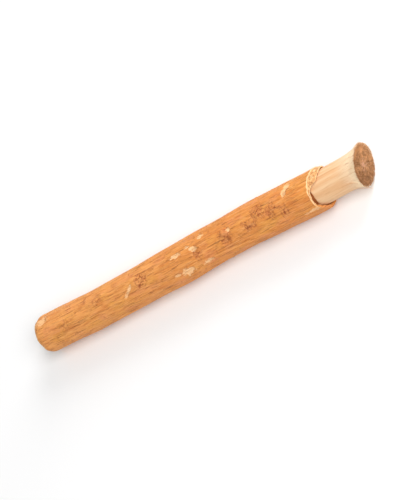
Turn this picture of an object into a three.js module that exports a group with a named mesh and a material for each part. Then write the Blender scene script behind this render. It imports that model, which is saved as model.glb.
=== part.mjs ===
// A miswak: a straight cut of twig for cleaning teeth. The bark is cut round and peeled away at one end,
// and the bare wood there is chewed out into a short, flared brush.
// Millimetres. The stick lies along X with its brush at +X, and rests on z = 0.
//
// Two words place everything on it. A station is the distance back from the middle of the brush's face.
// A turn is the angle round the stick in degrees, from the side that faces front and up towards +Y.

import * as THREE from 'three';
import { mergeVertices } from 'three/addons/utils/BufferGeometryUtils.js';

// Driving dimensions
const LENGTH = 150;
const EDGE_DIAMETER = 15;
const BUTT_DIAMETER = 13.6;
const BARK_THICKNESS = 1.2;
const OUTER_BARK_STEP = 0.3;
const LAYER_GAP = 0.3;
const BRUSH_DIAMETER = 14.8;
const FLARE_LENGTH = 9;
const FACE_SLANT = 0.3;
const BRUSH_LOCKS = 48;
const LOCK_DEPTH = 0.3;
const LOCK_UNEVENNESS = 0.5;
const WORN_FLAT_DEPTH = 0.2;
const FACING = 115;

// Places along the stick that the dimensions give
const FACE_X = LENGTH / 2 - (FACE_SLANT * BRUSH_DIAMETER) / 2;
const BUTT = FACE_X + LENGTH / 2;
const EDGE_RADIUS = EDGE_DIAMETER / 2;
const BUTT_RADIUS = BUTT_DIAMETER / 2;
const BRUSH_RADIUS = BRUSH_DIAMETER / 2;
const SHAFT_RADIUS = EDGE_RADIUS - BARK_THICKNESS - LAYER_GAP;

// The bark's radius at each station: it thins away from the cut edge and swells a little past the node.
const BARK_RADII = [
  [18, EDGE_RADIUS],
  [36, 7.45],
  [47, 7.3],
  [57, 7.08],
  [66, 7.0],
  [79, 7.2],
  [89, 7.12],
  [101, 6.95],
  [118, 6.85],
  [BUTT, BUTT_RADIUS],
];

// The twig's slight S-bend, sideways, at each station.
const BEND = [
  [0, 0.2],
  [20, -0.05],
  [36, 0.2],
  [60, 0.5],
  [80, -0.15],
  [95, -0.38],
  [117, -0.62],
  [BUTT, -0.1],
];

// The height of the middle line. It sinks a little towards the thinner end, and lies a fifth of a
// millimetre low at both ends, so that the underside is worn flat where it touches.
const MIDDLE_HEIGHTS = [
  [0, EDGE_RADIUS - WORN_FLAT_DEPTH],
  [BUTT, BUTT_RADIUS - WORN_FLAT_DEPTH],
];

// The cut edge of the outer bark round the stick, as turn and station.
const CUT_EDGE = [
  [-180, 19.6],
  [-115, 19.0],
  [-62, 19.3],
  [-36, 21.1],
  [19, 20.4],
  [77, 18.2],
  [130, 18.9],
];

// How far the ragged inner bark reaches past that edge, as turn and length.
const INNER_REACH = [
  [-180, 0.9],
  [-115, 0.6],
  [-66, 0.2],
  [-10, 0.2],
  [16, 1.0],
  [30, 3.2],
  [77, 2.9],
  [130, 1.9],
];

// How wide the bark has sprung away from the wood at its mouth, as turn and width.
const SPRUNG = [
  [-180, 0],
  [-80, 0],
  [-45, 0.55],
  [-15, 0.5],
  [10, 0],
  [90, 0],
];

// The sawn end's worn rim: distance back from the end, and how far it falls in there.
const BUTT_ROUNDING = [
  [0, 0.85],
  [0.5, 0.45],
  [1.4, 0.14],
  [3, 0],
];

// Flakes and scars in the bark: station, turn, half length, half width round the stick, and height.
const MARKS = [
  [30.0, 38, 2.4, 2.0, -0.32],
  [42.8, 20, 1.5, 1.9, 0.25],
  [48.5, -4, 2.4, 1.3, -0.22],
  [58.8, 15, 1.8, 1.7, 0.5],
  [59.6, -8, 2.0, 1.6, -0.4],
  [60.5, 175, 2.6, 2.6, 0.35],
  [72.6, -37, 3.0, 1.2, -0.25],
  [73.1, 44, 3.2, 1.5, -0.25],
  [82.1, -32, 3.4, 1.7, -0.38],
  [84.1, 26, 2.6, 1.2, -0.25],
  [99.6, 11, 3.4, 2.4, 0.28],
  [107.8, 5, 2.4, 1.1, -0.25],
  [120, 22, 3.0, 2.0, 0.22],
  [128, 120, 3.4, 2.2, -0.3],
  [94, -120, 3.0, 2.0, -0.3],
  [66, 105, 2.8, 1.8, -0.28],
  [44, -95, 3.2, 1.8, -0.3],
];

// Stations near the bark's mouth: the last ring that the cut edge doesn't disturb, the mouth itself,
// and where the bore is tight on the wood again.
const LAST_PLAIN = 23;
const MOUTH = 20;
const THROAT = 27;

// The stations where the hidden meeting of bark and wood bends, from the sawn end towards the mouth
const HIDDEN_STATIONS = [BUTT, 110, 82, 62, 42];

// The rings of the bare wood, as distances back from the brush's tips, and those of the brush's face,
// as shares of its radius
const BARE_RINGS = [22, 17, 13, 9, 6.5, 4.5, 3, 1.7, 0.7, 0.15];
const FACE_RINGS = [0.93, 0.76, 0.56, 0.35, 0.16, 0];

// Sampling of the two skins
const BARK_SEGMENTS = 60;
const BARK_STEP = 3.6;
const WOOD_SEGMENTS = 2 * BRUSH_LOCKS;

const radians = THREE.MathUtils.degToRad;
const smoothstep = THREE.MathUtils.smoothstep;
const wave = (degrees) => Math.sin(radians(degrees));

// A smooth curve through points of place and value, flat beyond both ends.
function follow(points, place) {
  const last = points.length - 1;
  if (place <= points[0][0]) {
    return points[0][1];
  }
  if (place >= points[last][0]) {
    return points[last][1];
  }
  const next = points.findIndex((point) => point[0] > place);
  const [startPlace, startValue] = points[next - 1];
  const [endPlace, endValue] = points[next];
  const span = endPlace - startPlace;
  const t = (place - startPlace) / span;
  const bend = (index) => {
    const before = points[Math.max(index - 1, 0)];
    const after = points[Math.min(index + 1, last)];
    return (span * (after[1] - before[1])) / (after[0] - before[0]);
  };
  const leave = t * (1 - t) ** 2 * bend(next - 1);
  const arrive = t ** 2 * (t - 1) * bend(next);
  return THREE.MathUtils.lerp(startValue, endValue, t * t * (3 - 2 * t)) + leave + arrive;
}

// The same round the stick, where the first point follows the last again after a full turn.
function followRound(points, turn) {
  const before = points.slice(-2).map(([place, value]) => [place - 360, value]);
  const after = points.slice(0, 2).map(([place, value]) => [place + 360, value]);
  const wrapped = THREE.MathUtils.euclideanModulo(turn + 180, 360) - 180;
  return follow([...before, ...points, ...after], wrapped);
}

// The shorter way round from one turn to another, in degrees.
function turnBetween(from, to) {
  return THREE.MathUtils.euclideanModulo(to - from + 180, 360) - 180;
}

// The point at a station, a turn and a distance from the middle line, never below the resting surface.
function place(station, turn, radius) {
  const angle = radians(FACING - turn);
  const y = follow(BEND, station) + radius * Math.cos(angle);
  const z = follow(MIDDLE_HEIGHTS, station) + radius * Math.sin(angle);
  return new THREE.Vector3(FACE_X - station, y, Math.max(z, 0));
}

// A closed body of rings. Each row gives a station and a radius at any turn, and a row of radius 0
// closes an end. A list of rows that returns to its first makes a sleeve.
function turned(rows, segments) {
  const outline = rows.map((row) => {
    const { station, radius } = row(0);
    return new THREE.Vector2(radius, station);
  });
  const lathe = new THREE.LatheGeometry(outline, segments);
  const position = lathe.getAttribute('position');
  for (let step = 0; step <= segments; step++) {
    const turn = ((step % segments) * 360) / segments - 180;
    rows.forEach((row, index) => {
      const { station, radius } = row(turn);
      const point = place(station, turn, radius);
      position.setXYZ(step * rows.length + index, point.x, point.y, point.z);
    });
  }
  lathe.deleteAttribute('normal');
  lathe.deleteAttribute('uv');
  const merged = mergeVertices(lathe, 1e-4);
  merged.setIndex(wholeTriangles(merged.getIndex()));
  merged.computeVertexNormals();
  return merged;
}

// The triangles that still have three different corners, once a ring of radius 0 is one point. Stations
// run against X, so each is turned over to face outwards.
function wholeTriangles(index) {
  const kept = [];
  for (let start = 0; start < index.count; start += 3) {
    const [a, b, c] = [index.getX(start), index.getX(start + 1), index.getX(start + 2)];
    if (a !== b && b !== c && c !== a) {
      kept.push(a, c, b);
    }
  }
  return kept;
}

// Long low ridges in the bark, which wander as they run along it.
function ridges(station, turn) {
  const wander = 14 * Math.sin(station / 19) + 8 * Math.sin(station / 7.3 + 1);
  const broad = 0.09 * wave(7 * (turn + wander)) + 0.06 * wave(11 * (turn - wander) + 70);
  const lumps = 0.1 * Math.sin(station / 4.3 + 2 * wave(turn)) * wave(2 * turn + 5 * station);
  return broad + lumps;
}

// Every flake and scar that reaches this point of the bark.
function marks(station, turn) {
  const radius = follow(BARK_RADII, station);
  return MARKS.reduce((height, [at, round, halfLength, halfWidth, rise]) => {
    const along = (station - at) / halfLength;
    const across = (radians(turnBetween(round, turn)) * radius) / halfWidth;
    const away = Math.hypot(along, across);
    return height + rise * (1 - smoothstep(away, 0.55, 1.25));
  }, 0);
}

// The underside is worn smooth where it rests.
function underside(turn) {
  const down = 90 + FACING;
  return smoothstep(Math.abs(turnBetween(down, turn)), 14, 40);
}

// Small tears along a cut edge.
function ragged(turn, size) {
  return size * (0.6 * wave(17 * turn + 20) + 0.4 * wave(29 * turn + 140));
}

function barkRadius(station, turn) {
  const relief = (ridges(station, turn) + marks(station, turn)) * underside(turn);
  return follow(BARK_RADII, station) + relief;
}

function boreRadius(station) {
  return follow(BARK_RADII, station) - BARK_THICKNESS;
}

function cutEdge(turn) {
  return followRound(CUT_EDGE, turn) + ragged(turn, 0.25);
}

function innerEdge(turn) {
  return cutEdge(turn) - Math.max(followRound(INNER_REACH, turn), 0.2) - ragged(turn + 60, 0.12);
}

// The bark is a sleeve. Its rows run up the outside to the cut edge, over the ragged inner bark that
// stands out past it, back down the bore, and across the sawn end.
function barkRows() {
  const innerRadius = EDGE_RADIUS - OUTER_BARK_STEP;
  const outerRadius = (turn) => barkRadius(MOUTH, turn);
  const mouthRadius = (turn) => boreRadius(MOUTH) + Math.max(followRound(SPRUNG, turn), 0);
  const rows = [];
  for (const [back, inset] of BUTT_ROUNDING) {
    const station = BUTT - back;
    const worn = (turn) => 1 + 0.5 * smoothstep(wave(turn), 0, 1);
    rows.push((turn) => ({ station, radius: barkRadius(station, turn) - inset * worn(turn) }));
  }
  const firstPlain = BUTT - BUTT_ROUNDING.at(-1)[0];
  const steps = Math.round((firstPlain - LAST_PLAIN) / BARK_STEP);
  for (let step = 1; step <= steps; step++) {
    const station = THREE.MathUtils.lerp(firstPlain, LAST_PLAIN, step / steps);
    rows.push((turn) => ({ station, radius: barkRadius(station, turn) }));
  }
  rows.push((turn) => ({ station: cutEdge(turn) + 0.35, radius: outerRadius(turn) }));
  rows.push((turn) => ({ station: cutEdge(turn), radius: outerRadius(turn) - 0.15 }));
  rows.push((turn) => ({ station: cutEdge(turn) + 0.05, radius: innerRadius }));
  rows.push((turn) => ({ station: innerEdge(turn) + 0.15, radius: innerRadius - 0.12 }));
  rows.push((turn) => ({ station: innerEdge(turn), radius: mouthRadius(turn) + 0.12 }));
  rows.push((turn) => ({ station: innerEdge(turn) + 0.4, radius: mouthRadius(turn) }));
  rows.push(() => ({ station: THROAT, radius: boreRadius(THROAT) }));
  for (const station of HIDDEN_STATIONS.toReversed()) {
    rows.push(() => ({ station, radius: boreRadius(station) }));
  }
  rows.push(rows[0]);
  return rows;
}

// A number from -1 to 1 that is different for each lock and ring, and the same on every run.
function chance(lock, ring) {
  const mixed = Math.sin(lock * 12.9898 + ring * 78.233) * 43758.5453;
  return 2 * (mixed - Math.floor(mixed)) - 1;
}

// A lock of fibres is two segments wide. This is its number, counted round the stick.
function lockAt(turn) {
  return Math.floor(((turn + 180) * BRUSH_LOCKS) / 360 + 0.25);
}

// From 1 on the crest of a lock to 0 in the groove beside it
function crest(turn) {
  return 0.5 + 0.5 * Math.cos(radians((turn + 180) * BRUSH_LOCKS));
}

// Fibre ridges along the bare wood, which only cut into it.
function flutes(station, turn) {
  const wander = 3 * Math.sin(station / 6);
  return 0.05 * (wave(16 * (turn + wander)) - 1) + 0.04 * (wave(27 * turn - 5 * wander + 90) - 1);
}

// The radius of the bare wood: a fluted shaft that flares over its last few millimetres.
function woodRadius(back, turn) {
  const open = Math.max(1 - back / FLARE_LENGTH, 0);
  const flare = (BRUSH_RADIUS - SHAFT_RADIUS) * open ** 2.2;
  const grooves = LOCK_DEPTH * (crest(turn) - 1) * open ** 1.5;
  return SHAFT_RADIUS + flare + grooves + flutes(back, turn);
}

// The brush's face is cut askew, and no two locks end at quite the same length.
function faceStation(radius, turn, ring) {
  const uneven = LOCK_UNEVENNESS * (0.5 + 0.5 * chance(lockAt(turn), ring));
  const groove = LOCK_DEPTH * (1 - crest(turn));
  return -FACE_SLANT * radius * wave(turn) + ((uneven + groove) * radius) / BRUSH_RADIUS;
}

// The wood's rows run from the middle of the sawn end, inside the bark, along the bare shaft to the
// brush's tips, and over its face to the middle.
function woodRows() {
  const rows = [() => ({ station: BUTT, radius: 0 })];
  for (const station of HIDDEN_STATIONS) {
    rows.push(() => ({ station, radius: boreRadius(station) - LAYER_GAP }));
  }
  for (const back of BARE_RINGS) {
    const slanted = 1 - smoothstep(back, 1, 12);
    rows.push((turn) => ({
      station: back + slanted * faceStation(BRUSH_RADIUS, turn, 0),
      radius: woodRadius(back, turn),
    }));
  }
  FACE_RINGS.forEach((share, ring) => {
    rows.push((turn) => {
      const radius = share * woodRadius(0, turn);
      return { station: faceStation(radius, turn, ring), radius };
    });
  });
  return rows;
}

function piece(name, rows, segments, finish) {
  const mesh = new THREE.Mesh(turned(rows, segments), new THREE.MeshStandardMaterial(finish));
  mesh.name = name;
  return mesh;
}

const miswak = new THREE.Group();
miswak.add(piece('bark', barkRows(), BARK_SEGMENTS, { color: 0xdf8f52, roughness: 0.8, metalness: 0 }));
miswak.add(piece('wood', woodRows(), WOOD_SEGMENTS, { color: 0xf0cba2, roughness: 0.75, metalness: 0 }));

export default miswak;
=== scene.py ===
# %% [markdown]
# A miswak is a short length of twig for cleaning teeth. Its orange-brown bark is cut round and peeled
# away at one end, and the pale wood left bare there is chewed out into a brush of its own fibres.
# The measured model is loaded first. It fixes every size and place, and nothing here moves it: each
# detailed piece is made in the space that its plain solid holds.

# %% Load the measured model
import itertools
import math
import bpy
import numpy as np
from mathutils import Matrix, Vector


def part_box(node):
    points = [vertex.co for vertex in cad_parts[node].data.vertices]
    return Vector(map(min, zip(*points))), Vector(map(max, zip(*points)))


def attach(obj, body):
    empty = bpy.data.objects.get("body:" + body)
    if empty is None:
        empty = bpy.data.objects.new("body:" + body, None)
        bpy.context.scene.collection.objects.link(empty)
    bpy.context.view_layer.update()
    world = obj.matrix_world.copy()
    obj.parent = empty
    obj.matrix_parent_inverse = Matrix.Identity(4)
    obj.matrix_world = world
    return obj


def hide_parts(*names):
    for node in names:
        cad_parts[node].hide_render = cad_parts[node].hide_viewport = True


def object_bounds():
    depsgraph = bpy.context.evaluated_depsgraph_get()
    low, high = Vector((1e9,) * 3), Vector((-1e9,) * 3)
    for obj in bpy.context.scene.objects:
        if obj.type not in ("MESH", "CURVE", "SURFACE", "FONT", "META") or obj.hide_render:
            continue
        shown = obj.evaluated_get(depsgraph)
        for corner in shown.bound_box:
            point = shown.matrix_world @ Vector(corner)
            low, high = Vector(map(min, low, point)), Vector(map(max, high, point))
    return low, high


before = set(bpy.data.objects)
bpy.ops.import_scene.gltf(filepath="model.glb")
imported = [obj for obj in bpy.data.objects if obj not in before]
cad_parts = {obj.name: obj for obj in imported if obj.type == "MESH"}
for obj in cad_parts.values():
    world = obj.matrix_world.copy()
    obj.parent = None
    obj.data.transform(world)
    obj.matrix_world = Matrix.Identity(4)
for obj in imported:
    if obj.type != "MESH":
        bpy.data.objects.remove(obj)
MEASURED_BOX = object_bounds()
MM = 0.001


def in_mm(lengths):
    return [round(length / MM, 2) for length in lengths]


print("solids:", sorted(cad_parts), "box in mm:", in_mm(MEASURED_BOX[1] - MEASURED_BOX[0]))

# %% [markdown]
# Everything on the stick is placed by two words. A station is the distance back from the middle of the
# brush's face, in millimetres. A turn is the angle round the stick, in degrees, from the side that
# faces the camera and up over the top. The tables repeat the twig's own shape: how thick it is, how it
# bends, and where the bark was cut.

# %% The twig's sizes, in millimetres and degrees
HALF_LENGTH = -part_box("wood")[0].x / MM
EDGE_RADIUS = 7.5
BUTT_RADIUS = 6.8
BARK_THICKNESS = 1.2
OUTER_BARK_STEP = 0.3
LAYER_GAP = 0.3
SHAFT_RADIUS = EDGE_RADIUS - BARK_THICKNESS - LAYER_GAP
BRUSH_RADIUS = 7.4
BRUSH_REACH = 12
FLARE_LENGTH = 9
FLARE_CURVE = 2.2
FACE_SLANT = 0.3
WORN_FLAT = 0.2
FACING = 115
UNDERSIDE = FACING + 90
FACE_X = HALF_LENGTH - FACE_SLANT * BRUSH_RADIUS
BUTT = FACE_X + HALF_LENGTH
BARK_RADII = [(18, EDGE_RADIUS), (36, 7.45), (47, 7.3), (57, 7.08), (66, 7.0), (79, 7.2), (89, 7.12),
              (101, 6.95), (118, 6.85), (BUTT, BUTT_RADIUS)]
BEND = [(0, 0.2), (20, -0.05), (36, 0.2), (60, 0.5), (80, -0.15), (95, -0.38), (117, -0.62), (BUTT, -0.1)]
MIDDLE_HEIGHTS = [(0, EDGE_RADIUS - WORN_FLAT), (BUTT, BUTT_RADIUS - WORN_FLAT)]
CUT_EDGE = [(-180, 19.6), (-115, 19.0), (-62, 19.3), (-36, 21.1), (19, 20.4), (77, 18.2), (130, 18.9)]
INNER_REACH = [(-180, 0.9), (-115, 0.6), (-66, 0.2), (-10, 0.2), (16, 1.0), (30, 3.2), (77, 2.9), (130, 1.9)]
SPRUNG = [(-180, 0), (-80, 0), (-45, 0.55), (-15, 0.5), (10, 0), (90, 0)]
print("length", 2 * HALF_LENGTH, "bark edge across", 2 * EDGE_RADIUS, "bare wood across", 2 * SHAFT_RADIUS)

# %% [markdown]
# The tables are followed by smooth curves, and a point is placed from its station, turn and distance
# from the twig's middle line. The underside never goes below the surface that the stick lies on: there
# the bark is worn flat. Arrays of points go through each function at once, which keeps this quick.

# %% Follow the tables and place points
def follow(points, where):
    """A smooth curve through pairs of place and value, flat beyond both ends."""
    places, values = np.array(points, float).T
    slopes = np.empty_like(values)
    slopes[1:-1] = (values[2:] - values[:-2]) / (places[2:] - places[:-2])
    slopes[[0, -1]] = np.diff(values)[[0, -1]] / np.diff(places)[[0, -1]]
    at = np.clip(where, places[0], places[-1])
    first = np.clip(np.searchsorted(places, at, side="right") - 1, 0, len(places) - 2)
    span = places[first + 1] - places[first]
    t = (at - places[first]) / span
    level = values[first] + (values[first + 1] - values[first]) * t * t * (3 - 2 * t)
    leave = t * (1 - t) ** 2 * span * slopes[first]
    arrive = t * t * (t - 1) * span * slopes[first + 1]
    return level + leave + arrive


def follow_round(points, turn):
    """The same round the stick, where the first point follows the last again."""
    before = [(at - 360, value) for at, value in points[-2:]]
    after = [(at + 360, value) for at, value in points[:2]]
    return follow(before + points + after, (turn + 180) % 360 - 180)


def turn_between(start, end):
    """The shorter way round from one turn to another, in degrees."""
    return (end - start + 180) % 360 - 180


def place(station, turn, radius):
    """The points at these stations, turns and distances from the middle line, in metres."""
    angle = np.radians(FACING - turn)
    x = FACE_X - station + 0 * radius
    y = follow(BEND, station) + radius * np.cos(angle)
    z = np.maximum(follow(MIDDLE_HEIGHTS, station) + radius * np.sin(angle), 0)
    return np.stack([x, y, z], -1) * MM


def uphill(y, z):
    """How far a point lies towards the side where the brush's slanted face stands out furthest."""
    side = math.radians(FACING - 90)
    return y * math.cos(side) + z * math.sin(side)


print("middle of the cut edge at x =", round(float(FACE_X - follow_round(CUT_EDGE, 0.0)), 2), "mm")

# %% [markdown]
# Bark and wood look grown because nothing on them repeats. The helpers give smooth random bumps of a
# chosen length and width in real millimetres, the same on every run, so that a fibre can be long and
# thin and a wrinkle short and wide. Wrapping the pattern round the stick in space leaves no seam. The
# large numbers only give neighbouring corners of a grid unrelated values.

# %% Random bumps and soft edges
SCATTER_PLACE = (73856093, 19349663, 83492791)
SCATTER_SEED = 2654435761
SCATTER_AGAIN = ((15, 2246822519), (13, 3266489917))
LARGEST = 0xFFFF
LAYER_SHIFT = 17


def bumps(points, seed):
    """Smooth random values from -1 to 1 at these points, with bumps one unit across."""
    cell = np.floor(points).astype(np.int64)
    part = points - cell
    ease = part * part * (3 - 2 * part)
    total = np.zeros(points.shape[:-1])
    for corner in itertools.product((0, 1), repeat=3):
        mixed = np.bitwise_xor.reduce((cell + corner) * SCATTER_PLACE, axis=-1) ^ seed * SCATTER_SEED
        for shift, factor in SCATTER_AGAIN:
            mixed = (mixed ^ mixed >> shift) * factor & 0xFFFFFFFF
        value = (mixed >> 8 & LARGEST) / (LARGEST / 2) - 1
        total += value * np.prod(np.where(corner, ease, 1 - ease), axis=-1)
    return total


def grown(station, turn, along, across, seed, layers=1):
    """Random bumps of this length and width on the stick, in layers that halve in size and height."""
    angle = np.radians(turn)
    station = station + 0 * angle
    radius = EDGE_RADIUS / across
    spot = np.stack([station / along, radius * np.cos(angle) + 0 * station,
                     radius * np.sin(angle) + 0 * station], -1)
    total = sum(bumps(spot * 2**layer + LAYER_SHIFT * layer, seed + layer) / 2**layer
                for layer in range(layers))
    return total / (2 - 2 ** (1 - layers))


def soft_step(value, low, high):
    """0 below low, 1 above high and a smooth rise between them."""
    share = np.clip((value - low) / (high - low), 0, 1)
    return share * share * (3 - 2 * share)


def wave(degrees):
    return np.sin(np.radians(degrees))


sample = bumps(np.random.default_rng(1).uniform(0, 9, (999, 3)), seed=1)
print("bumps run from", sample.min().round(2), "to", sample.max().round(2))

# %% [markdown]
# A piece is a skin over rings of points. Each ring has the same number of points, an end is closed by a
# ring shrunk to nothing, and a sleeve by joining its last ring to its first. Finishes that belong to a
# place on the bark, such as a flake or a scar, are kept in the mesh as attributes for its material.

# %% Make a skin over rings
def add_object(name, data):
    """Puts a mesh, a lamp or a camera into the scene."""
    thing = bpy.data.objects.new(name, data)
    bpy.context.scene.collection.objects.link(thing)
    return thing


def skin(name, rings, marks, sleeve=False):
    """A closed mesh over rings of points, with one number for each mark at each point."""
    columns = len(rings[0])
    points = np.concatenate(rings)
    first = np.arange(columns)
    faces = []
    for ring in range(len(rings) if sleeve else len(rings) - 1):
        low = ring * columns + first
        high = (ring + 1) % len(rings) * columns + first
        faces.append(np.stack([low, high, np.roll(high, -1), np.roll(low, -1)], -1))
    faces = np.concatenate(faces)
    a, b, c, d = (points[faces[:, corner]] for corner in range(4))
    volume = (a * (np.cross(b, c) + np.cross(c, d))).sum()
    if volume < 0:
        faces = faces[:, ::-1]
    mesh = bpy.data.meshes.new(name)
    mesh.from_pydata(points.tolist(), [], faces.tolist())
    for mark, values in marks.items():
        layer = mesh.attributes.new(mark, "FLOAT", "POINT")
        layer.data.foreach_set("value", np.concatenate(values).astype(np.float32))
    mesh.shade_smooth()
    return add_object(name, mesh)


def close_ends(piece):
    """Merges the rings that were shrunk to a point."""
    bpy.context.view_layer.objects.active = piece
    weld = piece.modifiers.new("weld", "WELD")
    weld.merge_threshold = 0.01 * MM
    bpy.ops.object.modifier_apply(modifier="weld")


def measure(piece):
    piece.data.calc_loop_triangles()
    print(piece.name, "triangles:", len(piece.data.loop_triangles), "size in mm:", in_mm(piece.dimensions))

# %% [markdown]
# The bark's relief is built in layers, as a carver would: long low ridges first, then the flakes where
# the outer bark has come away, the leaf scars, the wrinkles round them, and the fine grain. A list says
# where each stands on the twig. Each layer also marks the surface for its colour, so relief and colour
# always agree.

# %% Where the bark's flakes, wrinkles and scars are
FLAKES = [  # station, turn, half length, half width, depth, lean, paleness
    (28.9, 54, 1.5, 1.6, 0.2, 0.4, 1),
    (30.5, 38, 1.2, 1.5, 0.22, 0.2, 1),
    (56.5, 16, 1, 1.1, 0.05, 0, 0.9),
    (69.4, -37, 2.8, 0.9, 0.14, 0.1, 0.75),
    (78.5, -32, 2.8, 1.6, 0.3, -0.2, 1),
    (83, -28, 1.6, 0.7, 0.12, -0.1, 0.8),
    (69, 46, 1.9, 1.2, 0.14, -0.1, 0.85),
    (72.8, 20, 1.5, 1.5, 0.12, -0.6, 0.85),
    (75, 32, 1.3, 0.7, 0.1, -0.3, 0.75),
    (80.6, 26, 2.6, 0.9, 0.15, 0, 0.95),
    (103.8, 4, 0.9, 2.1, 0.16, 1.1, 0.95),
    (105.6, -6, 0.9, 0.9, 0.1, 0.5, 0.8),
    (144, 50, 3, 2.2, 0.2, 0.1, 0.85),
    (22.7, -46, 4.2, 0.9, 0.08, 0.15, 0.75),
    (128, 120, 3.4, 1.6, 0.25, 0.1, 0.9),
    (94, -120, 3.2, 1.3, 0.25, -0.1, 0.95),
    (66, 105, 2.8, 1.2, 0.24, 0.2, 0.9),
    (44, -95, 3.4, 1.3, 0.26, 0, 0.95),
    (113, 165, 3, 1.5, 0.22, 0.2, 0.85),
    (36, 150, 2.4, 1.2, 0.2, 0, 0.8),
]
WRINKLES = [  # station, turn, half length, half width, strength
    (32.8, -6, 2.6, 4.2, 0.9),
    (37.5, 6, 3.8, 3.8, 0.9),
    (43, 20, 4, 3.6, 1),
    (48, 0, 4.4, 3, 0.9),
    (58.6, 4, 3.8, 4.2, 0.8),
    (72, 0, 2.2, 4.4, 0.8),
    (97.4, 16, 4.5, 3.4, 0.9),
    (117.6, 22, 3.6, 3, 0.8),
    (124, 40, 3.6, 2.4, 0.7),
    (134, 4, 3, 2.6, 0.6),
    (60.5, 175, 3.6, 4, 1),
    (88, 130, 4, 3.5, 0.8),
    (52, -120, 3.6, 3.4, 0.8),
    (124, -110, 3.6, 3.4, 0.8),
]
STAINS = [  # station, turn, half length, half width, strength
    (57.4, -6, 1, 1.5, 0.9),
    (48.5, -4, 1.6, 1, 0.6),
    (33, -12, 0.9, 2, 0.4),
    (45.3, 24, 0.8, 1, 0.6),
    (117, 22, 1.6, 1.2, 0.6),
    (124, 41, 2, 1.3, 0.6),
    (134, 3, 1.8, 1.5, 0.5),
    (60.5, 170, 2.2, 1.8, 0.9),
]
KNOBS = [  # station, turn, half length, half width, height
    (58.8, 15, 1.8, 1.7, 0.5),
    (59.6, -8, 2, 1.6, -0.4),
    (42.8, 20, 1.5, 1.9, 0.22),
    (60.5, 175, 2.6, 2.6, 0.35),
    (99.6, 11, 3.4, 2.4, 0.2),
    (120, 22, 3, 2, 0.18),
]
print(len(FLAKES), "flakes,", len(WRINKLES), "wrinkled places,", len(STAINS), "stains,", len(KNOBS), "knobs")

# %% [markdown]
# Each layer returns a height in millimetres and a mark from 0 to 1. The flakes' outlines are frayed by
# small bumps, so none is a clean oval. The wrinkles are the lines where random bumps change sign,
# stretched across the grain, and they only show inside their own places.

# %% Carve the flakes, scars and wrinkles
LIP_HEIGHT = 0.05
CRACK_DEPTH = 0.09
PUCKER_HEIGHT = 0.06


def away_from(station, turn, at, round_at, half_length, half_width, lean=0.0):
    """How far points are from a mark's middle: 1 is its edge."""
    across = np.radians(turn_between(round_at, turn)) * EDGE_RADIUS
    along = station - at + lean * across
    return np.hypot(along / half_length, across / half_width)


def flakes(station, turn):
    """Shallow beds where the outer bark has come away, with pale fibres in them."""
    height, pale = np.zeros((2, len(station)))
    fray = 0.45 * grown(station, turn, 1.3, 0.8, 11, 2)
    for *middle_and_size, depth, lean, paleness in FLAKES:
        away = away_from(station, turn, *middle_and_size, lean) + fray
        bed = 1 - soft_step(away, 0.8, 1.0)
        lip = np.exp(-(((away - 1.12) / 0.16) ** 2))
        height += LIP_HEIGHT * lip - depth * bed
        pale = np.maximum(pale, paleness * np.clip(1.5 - away, 0, 1))
    return height, pale


def zones(station, turn, table, fray):
    """How strongly each point lies in any of a table's places, whose outlines are frayed."""
    level = np.zeros_like(station)
    for *middle_and_size, strength in table:
        away = away_from(station, turn, *middle_and_size) + fray
        level = np.maximum(level, strength * (1 - soft_step(away, 0.4, 1.2)))
    return level


def wrinkles(station, turn):
    """Short cracks across the grain round scars."""
    zone = zones(station, turn, WRINKLES, 0.5 * grown(station, turn, 2.4, 2.0, 31, 2))
    line = 1 - np.abs(grown(station, turn, 0.9, 1.9, 23, 2)) * 4.5
    crack = soft_step(line, 0.25, 0.9) * zone
    height = PUCKER_HEIGHT * zone * grown(station, turn, 0.9, 1.2, 29) - CRACK_DEPTH * crack
    return height, np.clip(0.3 * crack + 0.7 * zone, 0, 1)


def knobs(station, turn):
    """The leaf scars' broad humps and pits, which the solid has too."""
    height = np.zeros_like(station)
    for *middle_and_size, rise in KNOBS:
        height += rise * (1 - soft_step(away_from(station, turn, *middle_and_size), 0.3, 1.25))
    return height


print("deepest flake:", max(depth for *_, depth, _, _ in FLAKES), "mm")

# %% [markdown]
# A twig breathes through pores, small brown dashes across the grain. Chance with a fixed seed places
# them, because places picked by hand tend to look too even. One that falls too near another is left
# out, because two side by side would look drawn. The worn underside keeps only the bark's fine grain.

# %% Scatter the pores and put the layers together
PORES_TRIED = 60
PORE_HEIGHT = 0.1
PORE_CLEARANCE = (7, 3)


def pore_places():
    """Station, turn, half length and half width of each pore."""
    chance = np.random.default_rng(41)
    chosen = []
    for _ in range(PORES_TRIED):
        at, round_at = chance.uniform(24, BUTT - 3), chance.uniform(-180, 180)
        half_length, half_width = chance.uniform(0.35, 0.6), chance.uniform(0.45, 0.95)
        if all(away_from(at, round_at, *other[:2], *PORE_CLEARANCE) >= 1 for other in chosen):
            chosen.append((at, round_at, half_length, half_width))
    return chosen


PORES = pore_places()


def pores(station, turn):
    """The pores' raised dots and their marks."""
    height, spots = np.zeros((2, len(station)))
    for pore in PORES:
        near = np.abs(station - pore[0]) < 2
        away = away_from(station[near], turn[near], *pore)
        height[near] += PORE_HEIGHT * (1 - soft_step(away, 0.2, 1.3))
        spots[near] = np.maximum(spots[near], np.clip(1.3 - away, 0, 1))
    return height, spots


def ridges(station, turn):
    """Long low ridges, which wander as they run along the bark."""
    wander = 14 * np.sin(station / 19) + 8 * np.sin(station / 7.3 + 1)
    broad = 0.09 * wave(7 * (turn + wander)) + 0.06 * wave(11 * (turn - wander) + 70)
    return broad + 0.1 * np.sin(station / 4.3 + 2 * wave(turn)) * wave(2 * turn + 5 * station)


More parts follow.
